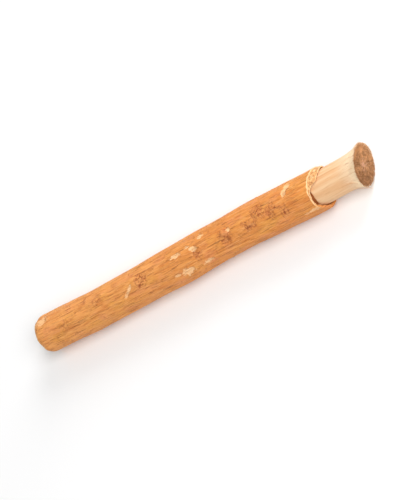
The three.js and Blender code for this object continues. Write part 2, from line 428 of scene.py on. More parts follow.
def bark_surface(station, turn):
    """The bark's radius at these points, and its marks."""
    bed, pale = flakes(station, turn)
    crease, scar = wrinkles(station, turn)
    brown = zones(station, turn, STAINS, 0.4 * grown(station, turn, 1.2, 0.9, 33, 2))
    dot, pore = pores(station, turn)
    grain = 0.08 * grown(station, turn, 9, 0.9, 3, 3) + 0.035 * grown(station, turn, 2.2, 1.4, 5, 2)
    worn = soft_step(np.abs(turn_between(UNDERSIDE, turn)), 14, 40)
    height = (ridges(station, turn) + knobs(station, turn) + bed + crease + dot) * worn + grain
    return follow(BARK_RADII, station) + height, {"pale": pale, "scar": scar, "brown": brown, "pore": pore}


print(len(PORES), "pores")

# %% [markdown]
# At the cut the bark shows its layers: a pale cut face, then the ragged inner bark, which reaches
# further along the wood on the upper side. Lower down is a dark crescent, where the bark has sprung
# away from the wood. The helpers give the line of each edge at any turn.

# %% Follow the bark's cut edges
MOUTH = 20
SETTLED = 27


def ragged(turn, size):
    """Small tears along a cut edge."""
    return size * (0.6 * wave(17 * turn + 20) + 0.4 * wave(29 * turn + 140))


def cut_edge(turn):
    fine = 0.14 * grown(0, turn, 1, 0.9, 51, 2)
    return follow_round(CUT_EDGE, turn) + ragged(turn, 0.12) + fine


def inner_edge(turn):
    fine = 0.3 * grown(0, turn, 1, 0.7, 53, 2)
    reach = np.maximum(follow_round(INNER_REACH, turn), 0.2)
    return cut_edge(turn) - reach - ragged(turn + 60, 0.12) - fine * np.minimum(reach, 1)


def bore_radius(station):
    return follow(BARK_RADII, station) - BARK_THICKNESS


def mouth_radius(turn):
    return bore_radius(MOUTH) + np.maximum(follow_round(SPRUNG, turn), 0)


print("bore across", 2 * round(float(bore_radius(BUTT)), 2), "mm at the sawn end")

# %% [markdown]
# The bark is a sleeve. Its rings start inside the sawn end, turn over that end's worn rim, run up the
# outside, follow the section of the cut round its edge and go back down the bore, so its thickness is
# real. The rings stand closer than a pore is long, because the relief is in the mesh.

# %% Make the bark sleeve
BARK_COLUMNS = 216
BARK_ROWS = 370
EDGE_ROWS = 22
LIT_TURN = 40
BUTT_ROUNDING = [(0, 0.85), (0.12, 0.68), (0.3, 0.53), (0.6, 0.4),
                 (1.0, 0.25), (1.4, 0.14), (2, 0.06), (3, 0)]
ROUNDED = BUTT_ROUNDING[-1][0]


def bark_rings():
    """The sleeve's rings and marks, from the sawn end round to the sawn end again."""
    turn = np.arange(BARK_COLUMNS) * 360 / BARK_COLUMNS - 180
    flat = np.zeros_like(turn)
    rings = []
    marks = {name: [] for name in ("pale", "scar", "brown", "pore", "bast", "cut")}

    def ring(station, radius, **shows):
        rings.append(place(station + flat, turn, radius + flat))
        for name, values in marks.items():
            values.append(shows.get(name, 0) + flat)

    def outside(station, inset=0.0, forward=0.0, **shows):
        """A ring that follows the bark's relief."""
        radius, outer = bark_surface(station + flat, turn)
        ring(station + forward, radius - inset, **outer, **shows)
        return radius

    # The sawn end and its worn rim
    for share in (0, 0.3, 0.7):
        saw = 0.03 * grown(60 * share, turn, 1, 0.4, 57)
        ring(BUTT - 0.03 + saw * (share > 0), bore_radius(BUTT) + share * 0.4, cut=0.75)
    worn = 1 + 0.5 * soft_step(wave(turn), 0, 1) + 0.3 * grown(0, turn, 1, 3, 59)
    bare_reach = 1.1 + 0.8 * (worn - 1)
    for back, inset in BUTT_ROUNDING:
        bared = 1 - soft_step(back + 0.5 * grown(0, turn, 1, 0.8, 61, 2), 0.15, bare_reach)
        outside(BUTT - back, inset * worn, cut=0.75 * bared)
    # The outside, up to the cut
    for share in np.linspace(0, 1, BARK_ROWS)[1:]:
        outside(BUTT - ROUNDED + (SETTLED - BUTT + ROUNDED) * share)
    edge, inner = cut_edge(turn), inner_edge(turn)
    for share in np.linspace(0, 1, EDGE_ROWS)[1:]:
        station = SETTLED + (edge + 0.3 - SETTLED) * share
        outside(station, cut=0.5 * soft_step(station, edge + 0.5, edge + 0.3))
    # The outer bark's cut face, with painted light: its marks and the inner bark's are paler on the side
    # where the lamp stands
    lit_side_paint = 1 - 0.85 * soft_step(np.abs(turn_between(LIT_TURN, turn)), 62, 96)
    lip = outside(edge, 0.04, forward=0.1, cut=0.8 * lit_side_paint) - 0.13
    ring(edge, lip, cut=lit_side_paint)
    bast_radius = EDGE_RADIUS - OUTER_BARK_STEP
    for share in (0.3, 0.65):
        rough = 0.07 * grown(9 * share, turn, 1, 0.35, 63)
        ring(edge + 0.03 + rough, lip + (bast_radius - lip) * share, cut=lit_side_paint)
    # The inner bark, which thins towards its own torn edge
    tip = mouth_radius(turn)
    thinned = 0.12 + 0.4 * soft_step(edge - inner, 0.8, 2.5)
    for share in np.linspace(0, 1, 12):
        station = edge + 0.06 + (inner + 0.18 - edge - 0.06) * share
        fibres = 0.05 * grown(station, turn, 2.5, 0.3, 65, 2) * min(1, 4 * share)
        radius = bast_radius - thinned * share**1.5 + fibres
        ring(station, radius, bast=lit_side_paint, cut=0.35 * (1 - share))
    thick = bast_radius - thinned - tip
    for share, forward in ((0.82, 0.05), (0.6, 0.0), (0.38, 0.02), (0.15, 0.08)):
        rough = 0.07 * grown(13 * share, turn, 1, 0.3, 67)
        ring(inner + forward + rough, tip + thick * share, bast=0.6 * lit_side_paint, cut=0.7 * lit_side_paint)
    # Back down the bore
    mouth = inner + 0.4
    for share in (0, 0.2, 0.45, 0.7, 1):
        ring(mouth + (SETTLED - mouth) * share, tip + (bore_radius(SETTLED) - tip) * share, bast=1)
    for station in (42, 62, 82, 110, 130):
        ring(station, bore_radius(station), bast=1)
    ring(BUTT - 0.5, bore_radius(BUTT), bast=1)
    return rings, marks


bark_sleeve = skin("bark_sleeve", *bark_rings(), sleeve=True)
measure(bark_sleeve)

# %% [markdown]
# The wood is one piece, from the sawn end inside the bark to the brush. Its bare length is covered in
# fine ridges, the sides of its long fibres. At the brush it stops just short of the tips and lies just
# under the loose fibres, so that no gap shows through. Beside the bark's cut it has the shallow groove
# that the knife left.

# %% Make the wood
WOOD_COLUMNS = 300
FACE_DEPTH = 0.9
GROOVE_TURN = -20
GROOVE_DEPTH = 0.35


def flare(back):
    """The brush's radius at a distance back from its tips."""
    opened = np.clip(1 - back / FLARE_LENGTH, 0, None)
    return SHAFT_RADIUS + (BRUSH_RADIUS - SHAFT_RADIUS) * opened**FLARE_CURVE


def slanted(back, radius, turn):
    """How far a point stands from its distance back from the tips, because the face is cut askew."""
    return -FACE_SLANT * radius * wave(turn) * (1 - soft_step(back, 1, BRUSH_REACH))


def knife_groove(station, turn):
    """How deeply each point lies in the knife's groove, from 0 to 1."""
    across = 1 - soft_step(np.abs(turn_between(GROOVE_TURN, turn)), 8, 36)
    front = follow_round(CUT_EDGE, turn) + 0.3 - across
    starts, ends = soft_step(station, front - 0.15, front + 0.25), 1 - soft_step(station, 22.5, 25)
    return soft_step(across, 0, 0.2) * starts * ends


def wood_rings():
    """The wood's rings, from the middle of the sawn end to the middle of the brush's floor."""
    turn = np.arange(WOOD_COLUMNS) * 360 / WOOD_COLUMNS - 180
    flat = np.zeros_like(turn)
    rings, groove_dark_rows = [], []

    def ring(station, radius, groove_dark=0.0):
        rings.append(place(station + flat, turn, radius + flat))
        groove_dark_rows.append(groove_dark + flat)

    sawn_radius = bore_radius(BUTT) - 0.06
    for share in (0, 0.08, 0.16, 0.26, 0.38, 0.5, 0.62, 0.74, 0.86, 0.96, 1):
        saw = 0.035 * grown(40 * share, turn, 1, 1.4, 71, 2) * (0 < share < 1)
        ring(BUTT + saw - 0.04, share * sawn_radius)
    hidden = [(station, LAYER_GAP) for station in (BUTT - 5, 130, 110, 82, 62, 42, 34, 30)]
    for station, gap in [(BUTT - 0.3, 0.06), (BUTT - 2, 0.08), *hidden]:
        ring(station, bore_radius(station) - gap)
    for back in np.arange(28, FACE_DEPTH, -0.24):
        strands = 0.04 * grown(back, turn, 16, 0.42, 73, 3) + 0.035 * grown(back, turn, 26, 1.3, 75, 2)
        under_fibres = 0.3 * soft_step(-back, -5, -1)
        groove = knife_groove(back + 0.06 * grown(back, turn, 1, 0.5, 77), turn)
        radius = flare(back) - 0.07 + strands - under_fibres - GROOVE_DEPTH * groove
        ring(back + slanted(back, radius, turn), radius, groove)
    rim = flare(FACE_DEPTH) - 0.4
    for share in (0.97, 0.85, 0.7, 0.5, 0.3, 0.12, 0):
        ring(FACE_DEPTH + slanted(FACE_DEPTH, share * rim, turn), share * rim)
    return rings, {"groove_dark": groove_dark_rows}


bare_wood = skin("bare_wood", *wood_rings())
close_ends(bare_wood)
measure(bare_wood)

# %% [markdown]
# Both geometry and shaders are worked out by nodes, and a formula made of nodes is hard to read. This
# helper lets a formula be written as a formula: adding or multiplying two of these values adds the
# node that does it.

# %% Write formulas as nodes
def feed(tree, value, socket):
    """Gives a socket a value, which is another node's output or a plain number, colour or name."""
    if isinstance(value, Worked):
        value = value.socket
    if isinstance(value, bpy.types.NodeSocket):
        tree.links.new(value, socket)
    else:
        socket.default_value = value


def add_node(tree, kind, inputs=(), **settings):
    """Adds a node with its settings, and feeds its inputs by name or number."""
    node = tree.nodes.new(kind)
    for name, value in settings.items():
        setattr(node, name, value)
    for socket, value in dict(inputs).items():
        feed(tree, value, node.inputs[socket])
    return node


def maths_rule(operation, turned=False):
    """A way to do this operation with a node, with its two numbers turned round if need be."""
    def rule(this, *others):
        values = (*others, this) if turned else (this, *others)
        node = add_node(this.tree, "ShaderNodeMath", enumerate(values), operation=operation)
        return Worked(this.tree, node.outputs[0])
    return rule


class Worked:
    """A number that nodes work out."""

    def __init__(self, tree, socket):
        self.tree = tree
        self.socket = socket

    __add__, __radd__ = maths_rule("ADD"), maths_rule("ADD", turned=True)
    __sub__, __rsub__ = maths_rule("SUBTRACT"), maths_rule("SUBTRACT", turned=True)
    __mul__, __rmul__ = maths_rule("MULTIPLY"), maths_rule("MULTIPLY", turned=True)
    __truediv__, __rtruediv__ = maths_rule("DIVIDE"), maths_rule("DIVIDE", turned=True)
    __pow__, __abs__ = maths_rule("POWER"), maths_rule("ABSOLUTE")
    at_least, root = maths_rule("MAXIMUM"), maths_rule("SQRT")
    cosine, sine = maths_rule("COSINE"), maths_rule("SINE")

    def ramp(self, low, high, start=0.0, end=1.0):
        """A smooth rise from start at low to end at high."""
        values = {0: self, 1: low, 2: high, 3: start, 4: end}
        node = add_node(self.tree, "ShaderNodeMapRange", values, interpolation_type="SMOOTHSTEP")
        return Worked(self.tree, node.outputs[0])


def split(tree, vector):
    """The three numbers of a place or a colour."""
    return [Worked(tree, socket) for socket in add_node(tree, "ShaderNodeSeparateXYZ", {0: vector}).outputs]


def join(tree, *numbers):
    """Three numbers as one place."""
    return add_node(tree, "ShaderNodeCombineXYZ", enumerate(numbers)).outputs[0]


def add_inputs(tree, inputs):
    """Gives a group of nodes its inputs, with their usual values."""
    for name, value in inputs.items():
        kind = "NodeSocketInt" if isinstance(value, int) else "NodeSocketFloat"
        tree.interface.new_socket(name, in_out="INPUT", socket_type=kind).default_value = value

# %% [markdown]
# The brush is thousands of fibres, all following one trumpet shape: each keeps its own share of the
# radius from root to tip. Geometry Nodes place them in a sunflower pattern over the face, stretch a
# small cylinder along each, and bend all the points by that rule. The tree is used for the short tips
# that fill the face, for the long fibres on the outside and for a few strays. A fixed seed sets chance.

# %% Build the fibre tree
FIBRE_INPUTS = {"Fibres": 1000, "Sides": 5, "Spans": 2, "Length": 2.0, "Thickness": 0.1,
                "Inner share": 0.0, "Outer share": 1.0, "Root sunk by": 0.0,
                "Unevenness": 0.3, "Straying": 0.2, "Seed": 1}
GOLDEN_TURN = math.pi * (3 - math.sqrt(5))
CLEAR_OF_FLOOR = 0.02 * MM


def in_use(sockets):
    """The one socket that a node's settings leave switched on."""
    return next(socket for socket in sockets if socket.enabled)


def fibre_tree():
    """A tree of nodes that makes splayed fibres from the inputs above, in millimetres."""
    tree = bpy.data.node_groups.new("splayed_fibres", "GeometryNodeTree")
    tree.interface.new_socket("Geometry", in_out="OUTPUT", socket_type="NodeSocketGeometry")
    add_inputs(tree, FIBRE_INPUTS)
    tree.interface.new_socket("Material", in_out="INPUT", socket_type="NodeSocketMaterial")
    given = tree.nodes.new("NodeGroupInput").outputs

    def size(name):
        return Worked(tree, given[name])

    def chance(number):
        node = add_node(tree, "FunctionNodeRandomValue", {"ID": index}, data_type="FLOAT")
        feed(tree, size("Seed") + number, node.inputs["Seed"])
        return Worked(tree, in_use(node.outputs))

    def keep(geometry, name, value):
        node = add_node(tree, "GeometryNodeStoreNamedAttribute", {"Geometry": geometry, "Name": name},
                        data_type="FLOAT", domain="POINT")
        feed(tree, value, in_use([s for s in node.inputs if s.name == "Value"]))
        return node.outputs[0]

    def kept(name):
        node = add_node(tree, "GeometryNodeInputNamedAttribute", {"Name": name}, data_type="FLOAT")
        return Worked(tree, in_use(node.outputs))

    # One point for each fibre, with its share of the radius, its turn and its luck
    index = Worked(tree, tree.nodes.new("GeometryNodeInputIndex").outputs[0])
    points = add_node(tree, "GeometryNodePoints", {"Count": given["Fibres"]}).outputs[0]
    inner, outer = size("Inner share"), size("Outer share")
    filled = (index + 0.5) / size("Fibres")
    points = keep(points, "share", (inner * inner + (outer * outer - inner * inner) * filled).root())
    points = keep(points, "turn", index * GOLDEN_TURN + chance(1) * 0.9)
    points = keep(points, "chance", chance(2))
    points = keep(points, "start", chance(3))
    # A straight straw at each point
    sizes = {"Vertices": given["Sides"], "Side Segments": given["Spans"], "Radius": 1.0, "Depth": 1.0}
    straw = add_node(tree, "GeometryNodeMeshCylinder", sizes).outputs["Mesh"]
    placed = add_node(tree, "GeometryNodeInstanceOnPoints", {"Points": points, "Instance": straw})
    real = add_node(tree, "GeometryNodeRealizeInstances", {"Geometry": placed.outputs[0]}).outputs[0]
    straw_point = tree.nodes.new("GeometryNodeInputPosition").outputs[0]
    side_a, side_b, height = split(tree, straw_point)
    real = keep(real, "along", height + 0.5)
    along, share, turn, luck = kept("along"), kept("share"), kept("turn"), kept("chance")
    # How far back each of its points is, and how far out
    back = size("Length") * (1 - along) * (0.5 + 0.5 * kept("start"))
    real = keep(real, "depth", back)
    opened = (1 - back * (1 / FLARE_LENGTH)).at_least(0)
    radius = SHAFT_RADIUS + opened**FLARE_CURVE * (BRUSH_RADIUS - SHAFT_RADIUS)
    sunk = size("Root sunk by") * (1 - along) ** 1.3 * (0.5 + luck)
    radius = radius * share - sunk - size("Thickness")
    # Neighbours drift together as locks, and each strays a little on its own
    root = join(tree, share * turn.cosine(), share * turn.sine(), size("Seed") * 1.7 + along * 0.25)
    drift = add_node(tree, "ShaderNodeTexNoise", {"Vector": root, "Scale": 8.0, "Detail": 2.0})
    drift_y, drift_z, drift_x = (part - 0.5 for part in split(tree, drift.outputs["Color"]))
    stray = size("Straying") * along**2 * 2
    own = luck - 0.5
    thick = size("Thickness") * (0.8 + 0.4 * kept("start")) * (1 - 0.2 * along)
    section_y = radius * turn.cosine() + drift_y * stray + own * stray * 0.5 + side_a * thick
    section_z = radius * turn.sine() + drift_z * stray - own * stray * 0.4 + side_b * thick
    # The place on the twig, whose middle line is as good as straight near the brush
    askew = uphill(section_y, section_z) * -FACE_SLANT * back.ramp(1, BRUSH_REACH, 1, 0)
    uneven = size("Unevenness") * (luck + drift_x * 0.8) * along
    station = back + askew + uneven

    def middle_line(table):
        start, end = (float(follow(table, at)) for at in (0.0, BRUSH_REACH))
        return station * ((end - start) / BRUSH_REACH) + start

    x = (FACE_X - station) * MM
    y = (middle_line(BEND) + section_y) * MM
    z = ((middle_line(MIDDLE_HEIGHTS) + section_z) * MM).at_least(CLEAR_OF_FLOOR)
    bent = add_node(tree, "GeometryNodeSetPosition", {"Geometry": real, "Position": join(tree, x, y, z)})
    whole = add_node(tree, "GeometryNodeRealizeInstances", {"Geometry": bent.outputs[0]}).outputs[0]
    finished = add_node(tree, "GeometryNodeSetMaterial", {"Geometry": whole, "Material": given["Material"]})
    feed(tree, finished.outputs[0], tree.nodes.new("NodeGroupOutput").inputs[0])
    return tree


fibres_by_rule = fibre_tree()
print("fibre tree:", len(fibres_by_rule.nodes), "nodes")

# %% [markdown]
# Finishes come next. An effect that more than one material needs is a group of nodes: grain gives long
# streaks that run with the twig, at any width and length in millimetres, specks give small dots, and
# fine lines give cracks. They read Object coordinates, so the pattern stays on the piece. Groups give
# out masks only, and the shader itself stays in each material.

# %% Build the shared effects
def effect_group(name, inputs, work_out):
    """A group that gives a mask, worked out from its inputs and the place on the piece."""
    group = bpy.data.node_groups.new(name, "ShaderNodeTree")
    add_inputs(group, inputs)
    group.interface.new_socket("Mask", in_out="OUTPUT", socket_type="NodeSocketFloat")
    given = group.nodes.new("NodeGroupInput").outputs
    spot = group.nodes.new("ShaderNodeTexCoord").outputs["Object"]
    mask = work_out(group, spot, *(Worked(group, given[title]) for title in inputs))
    feed(group, mask, group.nodes.new("NodeGroupOutput").inputs["Mask"])
    return group


def noise(tree, spot, seed, detail, scale=1.0):
    """A soft random pattern, another one for each seed."""
    inputs = {"Vector": spot, "W": seed, "Scale": scale, "Detail": detail}
    return Worked(tree, add_node(tree, "ShaderNodeTexNoise", inputs, noise_dimensions="4D").outputs[0])


def stretched(tree, spot, length, width):
    """The place, shrunk so that a pattern on it comes out this long and this wide in millimetres."""
    across = 1 / MM / width
    scale = join(tree, 1 / MM / length, across, across)
    return add_node(tree, "ShaderNodeVectorMath", {0: spot, 1: scale}, operation="MULTIPLY").outputs[0]


def streaks(group, spot, width, length, low, high, seed):
    """Streaks along the twig, as long and as wide as asked for."""
    return noise(group, stretched(group, spot, length, width), seed, 4.0).ramp(low, high)


def dots(group, spot, size, level, softness, seed):
    """Small round specks, where a noise rises above a level."""
    return noise(group, spot, seed, 2.0, scale=1 / MM / size).ramp(level, level + softness)


def branches(group, spot, along, across, thickness, seed):
    """Thin branching lines, which run along the middle values of a stretched noise."""
    away = abs(noise(group, stretched(group, spot, along, across), seed, 1.5) - 0.5)
    return away.ramp(thickness, thickness * 0.3)


LONG_GRAIN = effect_group(
    "long_grain", {"Width": 1.0, "Length": 10.0, "Low": 0.35, "High": 0.65, "Seed": 0.0}, streaks)
SPECKS = effect_group(
    "specks", {"Size": 0.5, "Level": 0.62, "Softness": 0.05, "Seed": 0.0}, dots)
FINE_LINES = effect_group(
    "fine_lines", {"Along": 1.0, "Across": 2.0, "Thickness": 0.05, "Seed": 0.0}, branches)
print("effects:", LONG_GRAIN.name, SPECKS.name, FINE_LINES.name)

# %% [markdown]
# A finish is built up as paint would be: a base colour, then layers over it, each through its own mask.
# The photograph's colours are matched and written as they look on a screen, then turned into the light
# values that Blender works in.

# %% Layer colours
MASK, UNDER, OVER, MIXED = 0, 6, 7, 2


def shown(*screen_colour):
    """A colour given as it looks on a screen, from 0 to 255, as Blender's light values."""
    levels = [part / 255 for part in screen_colour]
    linear = [level / 12.92 if level < 0.04045 else ((level + 0.055) / 1.055) ** 2.4 for level in levels]
    return (*linear, 1.0)


class Finish:
    """A material that is built up in layers of colour."""

    def __init__(self, name, base):
        self.material = bpy.data.materials.new(name)
        self.material.use_nodes = True
        self.tree = self.material.node_tree
        self.shader = self.tree.nodes["Principled BSDF"]
        self.colour = shown(*base)

    def effect(self, group, *values):
        """The mask that a shared effect gives for these values, in the order of its inputs."""
        node = add_node(self.tree, "ShaderNodeGroup", enumerate(values), node_tree=group)
        return Worked(self.tree, node.outputs["Mask"])

    def grain(self, *sizes_and_seed):
        return self.effect(LONG_GRAIN, *sizes_and_seed)

    def specks(self, *sizes_and_seed):
        return self.effect(SPECKS, *sizes_and_seed)

    def lines(self, *sizes_and_seed):
        return self.effect(FINE_LINES, *sizes_and_seed)

    def mark(self, name):
        """The number that the mesh keeps under this name."""
        node = add_node(self.tree, "ShaderNodeAttribute", attribute_name=name)
        return Worked(self.tree, node.outputs["Fac"])

    def spot(self):
        """The place on the piece, as three numbers in millimetres."""
        place_on = self.tree.nodes.new("ShaderNodeTexCoord").outputs["Object"]
        return [part * (1 / MM) for part in split(self.tree, place_on)]

    def layer(self, colour, mask):
        """Lays a colour over what is there, as thickly as the mask says."""
        values = {MASK: mask, UNDER: self.colour, OVER: shown(*colour)}
        self.colour = add_node(self.tree, "ShaderNodeMix", values, data_type="RGBA").outputs[MIXED]

    def complete(self, roughness, height, depth):
        """Joins the colour, the roughness and the fine relief to the shader."""
        feed(self.tree, self.colour, self.shader.inputs["Base Color"])
        feed(self.tree, roughness, self.shader.inputs["Roughness"])
        self.shader.inputs["Specular IOR Level"].default_value = 0.35
        relief = {"Height": height, "Distance": depth * MM, "Strength": 1.0}
        bump = add_node(self.tree, "ShaderNodeBump", relief)
        feed(self.tree, bump.outputs[0], self.shader.inputs["Normal"])
        return self.material


print("middle grey as a light value:", round(shown(128, 128, 128)[0], 2))

# %% [markdown]
# Bark is matt and a warm orange, streaked along the twig, mottled between yellow and red, and a little
# paler towards the sawn end. Brown sits in the wrinkles and on the pores, the flakes are pale, and the
# inner bark at the cut is a light tan with cream and brown flecks. The marks carved into the mesh say
# where, and fine grain breaks up their outlines.

# %% Finish the bark
def bark_finish():
    bark = Finish("dry_bark", (224, 142, 68))
    bark.layer((244, 172, 100), bark.spot()[0].ramp(20, -60) * 0.5)
    for colour, strength, *streaks in (
            ((230, 158, 74), 0.7, 5, 12, 0.48, 0.64, 1),
            ((208, 120, 56), 0.5, 3, 9, 0.5, 0.68, 2),
            ((232, 148, 96), 0.5, 3.4, 7, 0.5, 0.66, 13),
            ((246, 172, 98), 0.55, 0.6, 8, 0.52, 0.64, 3),
            ((192, 106, 48), 0.5, 0.5, 8, 0.52, 0.64, 4),
            ((176, 94, 44), 0.4, 0.4, 2.6, 0.57, 0.68, 14),
            ((250, 184, 116), 0.4, 0.4, 2.6, 0.58, 0.67, 19)):
        bark.layer(colour, bark.grain(*streaks) * strength)
    fissures = bark.grain(0.28, 7, 0.57, 0.66, 15)
    bark.layer((172, 90, 42), fissures * 0.55)
    bark.layer((252, 190, 120), bark.grain(0.24, 10, 0.56, 0.65, 21) * 0.4)
    frayed = bark.grain(0.35, 0.9, 0.2, 0.8, 7)
    worn = bark.grain(0.9, 1.6, 0.4, 0.62, 24)
    # Wrinkles and stains
    scar = bark.mark("scar")
    scribble = bark.lines(1.6, 2.4, 0.06, 17).at_least(bark.lines(1.3, 1.1, 0.03, 18) * 0.6)
    cracks = (scar * scribble).ramp(0.1, 0.75) * (0.35 + 0.65 * worn)
    bark.layer((196, 114, 60), (scar * (0.5 + frayed)).ramp(0.25, 0.9) * 0.35)
    bark.layer((240, 166, 106), scar.ramp(0.35, 0.7) * (1 - worn) * frayed * 0.5)
    bark.layer((160, 76, 38), cracks * 0.9)
    brown = (bark.mark("brown") + (frayed - 0.5) * 0.5).ramp(0.3, 0.85)
    bark.layer((168, 90, 46), brown * 0.55)
    # Pores and flakes
    torn = (frayed - 0.5) * 0.7
    pore = bark.mark("pore") + torn
    bark.layer((190, 108, 56), pore.ramp(0.3, 0.9) * 0.55)
    bark.layer((146, 74, 38), pore.ramp(0.95, 1.25) * 0.6)
    pale = (bark.mark("pale") + torn).ramp(0.5, 0.62)
    bark.layer((250, 194, 136), pale * 0.95)
    bark.layer((255, 214, 166), pale * bark.grain(0.5, 2.5, 0.5, 0.64, 8) * 0.6)
    bark.layer((206, 132, 76), pale * bark.grain(0.24, 4, 0.55, 0.64, 22) * 0.6)
    # Inner bark and cut face, whose marks at the bark's edge are painted paler on the lamp's side as light
    bast = bark.mark("bast").ramp(0.2, 0.8)
    bark.layer((236, 176, 114), bast)
    bark.layer((184, 110, 58), bast * bark.grain(0.7, 1.2, 0.5, 0.6, 9) * 0.7)
    bark.layer((250, 208, 150), bast * bark.grain(1.6, 0.9, 0.53, 0.6, 25) * 0.8)
    broken = bark.grain(1.4, 1.4, 0.46, 0.6, 23)
    bark.layer((140, 76, 36), bast * bark.lines(0.9, 1.6, 0.05, 20) * broken * 0.7)
    cut = bark.mark("cut").ramp(0.3, 0.8)
    bark.layer((255, 216, 164), cut * 0.95)
    bark.layer((196, 128, 74), cut * bark.grain(0.5, 0.6, 0.54, 0.68, 10) * 0.5)
    rough = 0.62 + bark.grain(0.6, 6, 0.3, 0.7, 11) * 0.2
    relief = bark.grain(0.6, 6, 0.2, 0.8, 3) + bark.grain(0.35, 1.4, 0.2, 0.8, 12) * 0.5
    return bark.complete(rough, relief - fissures * 0.8 - cracks * 0.9 - pale * 0.3, 0.18)


BARK_FINISH = bark_finish()
print("bark finish:", len(BARK_FINISH.node_tree.nodes), "nodes")

# %% [markdown]
# The bare wood is cream, with faint tan lines along its fibres, and its groove is a warm brown. Its sawn
# end shows a small darker middle, faint uneven bands and open pores. The bands wobble, because clean
# rings would look like a target.

# %% Finish the wood
def wood_layers(finish):
    """Lays the colours that the wood and its fibres share, and returns the place on the piece."""
    x, y, z = finish.spot()
    finish.layer((240, 202, 158), finish.grain(1.6, 30, 0.4, 0.62, 21) * 0.8)
    finish.layer((212, 154, 104), finish.grain(0.6, 22, 0.52, 0.66, 22) * 0.6)
    finish.layer((190, 126, 80), finish.grain(0.35, 9, 0.57, 0.7, 23) * 0.5)
    finish.layer((246, 218, 182), x.ramp(FACE_X - 10, FACE_X - 2) * 0.75)
    return x, y, z


def wood_finish():
    wood = Finish("bare_wood", (228, 178, 130))
    x, y, z = wood_layers(wood)
    # Darker brown in the knife's groove, following how deep a point lies in it
    groove_dark = wood.mark("groove_dark") + (wood.grain(0.4, 2, 0.2, 0.8, 29) - 0.5) * 0.25
    wood.layer((200, 124, 64), groove_dark.ramp(0.1, 0.6) * 0.9)
    wood.layer((168, 92, 42), groove_dark.ramp(0.5, 0.95) * 0.85)
    # The sawn end
    from_y, from_z = y - BEND[-1][1], z - MIDDLE_HEIGHTS[-1][1]
    away = (from_y * from_y + from_z * from_z).root()
    sawn = x.ramp(-HALF_LENGTH + 0.3, -HALF_LENGTH + 0.12)
    wobble = wood.grain(2.2, 2.2, 0.0, 1.0, 24)
    rings = ((away * 3.1 + wobble * 13).sine() * 0.5 + 0.5).ramp(0.3, 1.0)
    wood.layer((250, 206, 156), sawn)
    wood.layer((234, 180, 126), sawn * rings * 0.5)
    wood.layer((192, 130, 80), sawn * wood.specks(0.32, 0.55, 0.06, 25) * (0.35 + rings * 0.4))
    wood.layer((206, 150, 100), sawn * (away + wobble).ramp(1.7, 0.9) * 0.7)
    # The brush's floor, which is seen only between the fibres, is painted dark brown as the shade there
    rise = uphill(y, z) - uphill(BEND[0][1], MIDDLE_HEIGHTS[0][1])
    depth = FACE_X - x + rise * FACE_SLANT
    wood.layer((120, 72, 42), depth.ramp(1.12, 0.98))
    rough = 0.6 + wood.grain(0.5, 12, 0.3, 0.7, 26) * 0.2
    relief = wood.grain(0.3, 14, 0.2, 0.8, 27) + wood.grain(0.14, 6, 0.2, 0.8, 28) * 0.5
    return wood.complete(rough, relief, 0.08)


WOOD_FINISH = wood_finish()
print("wood finish:", len(WOOD_FINISH.node_tree.nodes), "nodes")

# %% [markdown]
# The fibres are the same wood, but each is cut across at its tip, and cut ends look brown, because light
# sinks into them. A mark on each fibre says how far a point is from that end. The face is darker in rings,
# rays and single fibres, with a few pale flecks in the middle, and it has painted shade towards its lower
# side and painted light towards its upper side. The strays have one plain finish.

# %% Finish the fibres
def fibre_finish():
    finish = Finish("cut_fibres", (242, 204, 164))
    x, y, z = wood_layers(finish)
    # Painted light: the fibres on the flare are made paler to offset the shade that falls between them
    finish.layer((255, 226, 188), x.ramp(FACE_X - 10, FACE_X - 5) * 0.4)
    finish.layer((255, 234, 201), x.ramp(FACE_X - 6, FACE_X - 2) * 0.9)
    chance, depth = finish.mark("chance"), finish.mark("depth")
    share, turn = finish.mark("share"), finish.mark("turn")
    finish.layer((226, 176, 126), chance.ramp(0.6, 1.0) * 0.25)
    brown_reach = 0.16 + share.ramp(0.96, 0.9) * 0.7
    tip = (brown_reach - depth).ramp(0, 0.1)

    def round_pattern(outwards, round_it):
        """A random pattern that is stretched outwards or round the face."""
        spot = join(finish.tree, share * outwards, turn.cosine() * round_it, turn.sine() * round_it)
        inputs = {"Vector": spot, "Scale": 1.0, "Detail": 2.0}
        return Worked(finish.tree, add_node(finish.tree, "ShaderNodeTexNoise", inputs).outputs[0])

    rings, rays = round_pattern(7, 1.6), round_pattern(1.6, 5.5)
    rise = uphill(y, z - MIDDLE_HEIGHTS[0][1])
    finish.layer((206, 150, 98), tip)
    for colour, mask, strength in (
            ((144, 92, 54), rings.ramp(0.5, 0.6), 0.65),
            ((234, 180, 126), rings.ramp(0.46, 0.38), 0.7),
            ((134, 86, 50), rays.ramp(0.53, 0.63), 0.6),
            ((234, 182, 132), rays.ramp(0.44, 0.36), 0.5),
            ((144, 94, 58), chance.ramp(0.55, 0.95), 0.5),
            ((234, 184, 134), chance.ramp(0.35, 0.0), 0.5),
            ((158, 102, 58), share.ramp(0.8, 0.97), 0.5),
            # Painted shade towards the face's lower side and painted light towards its upper side
            ((146, 98, 66), rise.ramp(3, -7), 0.4),
            ((236, 178, 122), rise.ramp(1, 7), 0.35),
            ((236, 192, 160), share.ramp(0.42, 0.15) * finish.specks(0.9, 0.5, 0.04, 31), 0.7)):
        finish.layer(colour, tip * mask * strength)
    return finish.complete(0.7, finish.grain(0.12, 5, 0.2, 0.8, 32), 0.03)


def loose_finish():
    finish = Finish("loose_fibres", (226, 178, 130))
    finish.layer((176, 122, 78), finish.mark("chance").ramp(0.4, 0.9) * 0.8)
    return finish.complete(0.7, finish.grain(0.12, 5, 0.2, 0.8, 34), 0.02)


FIBRE_FINISH = fibre_finish()
LOOSE_FINISH = loose_finish()
print("fibre finishes:", FIBRE_FINISH.name, LOOSE_FINISH.name)

